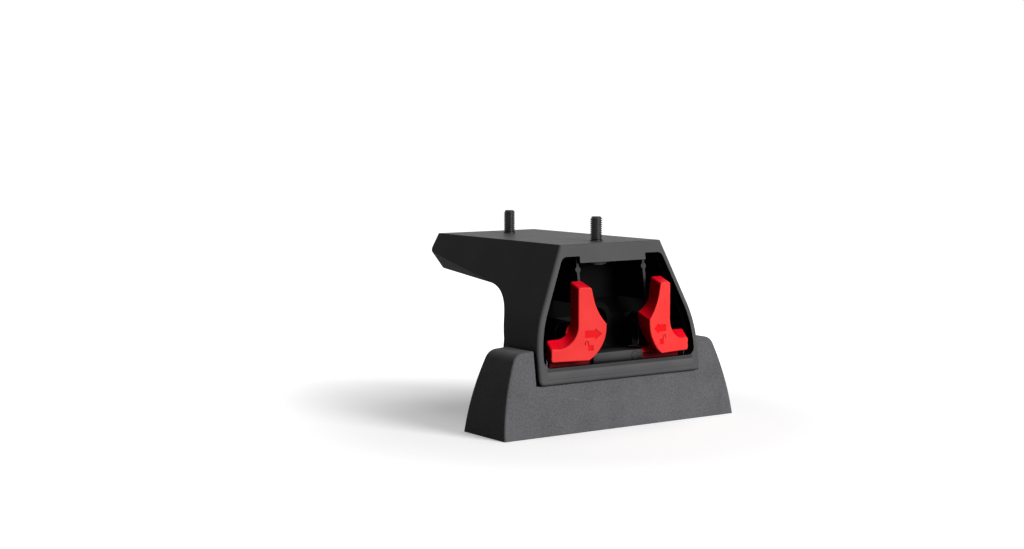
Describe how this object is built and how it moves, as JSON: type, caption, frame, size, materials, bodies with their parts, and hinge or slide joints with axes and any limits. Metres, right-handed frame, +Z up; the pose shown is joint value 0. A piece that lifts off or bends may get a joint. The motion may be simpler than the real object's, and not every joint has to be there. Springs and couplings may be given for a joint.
{
  "type": "roof bar foot",
  "caption": "Moulded roof bar foot with a cantilever arm, standing in a notched rubber pad and latched to it by red pinch levers in an open front bay.",
  "frame": {"origin": "centre of the pad's underside, on the roof", "axes": "+X along the pad's length, -Y the lever side, +Y the way the arm runs under the bar, +Z up"},
  "size_m": [0.14, 0.1214, 0.1005],
  "materials": {
    "pad_rubber": "fine moulded grain, matt",
    "black_nylon": "satin moulded nylon",
    "red_nylon": "satin moulded nylon",
    "plated_steel": "zinc plated sheet",
    "bright_steel": "bright plated",
    "black_steel": "black oxide",
    "spring_steel": "blued strip"
  },
  "bodies": {
    "foot": {"base_pad": "pad_rubber", "base_plate": "plated_steel", "leg_housing": "black_nylon", "leaf_spring_left": "spring_steel", "leaf_spring_right": "spring_steel", "bar_bolt_front": "black_steel", "bar_bolt_rear": "black_steel", "bar_washer_front": "black_steel", "bar_washer_rear": "black_steel"},
    "left_lever": {"lever_left": "red_nylon", "claw_left": "plated_steel", "claw_rivets_left": "bright_steel", "lever_pin_left": "bright_steel", "pin_clip_left": "spring_steel"},
    "right_lever": {"lever_right": "red_nylon", "claw_right": "plated_steel", "claw_rivets_right": "bright_steel", "lever_pin_right": "bright_steel", "pin_clip_right": "spring_steel"}
  },
  "joints": [
    {"name": "left_squeeze", "type": "hinge", "parent": "foot", "child": "left_lever", "pos_m": [-0.0255, 0, 0.0465], "axis": [0, 1, 0], "range_deg": [0, 10], "stiffness_Nm_per_rad": 1.2, "springref_deg": -8.59, "deforming": ["leaf_spring_left"]},
    {"name": "right_squeeze", "type": "hinge", "parent": "foot", "child": "right_lever", "pos_m": [0.0255, 0, 0.0465], "axis": [0, -1, 0], "range_deg": [0, 10], "stiffness_Nm_per_rad": 1.2, "springref_deg": -8.59, "deforming": ["leaf_spring_right"]}
  ]
}
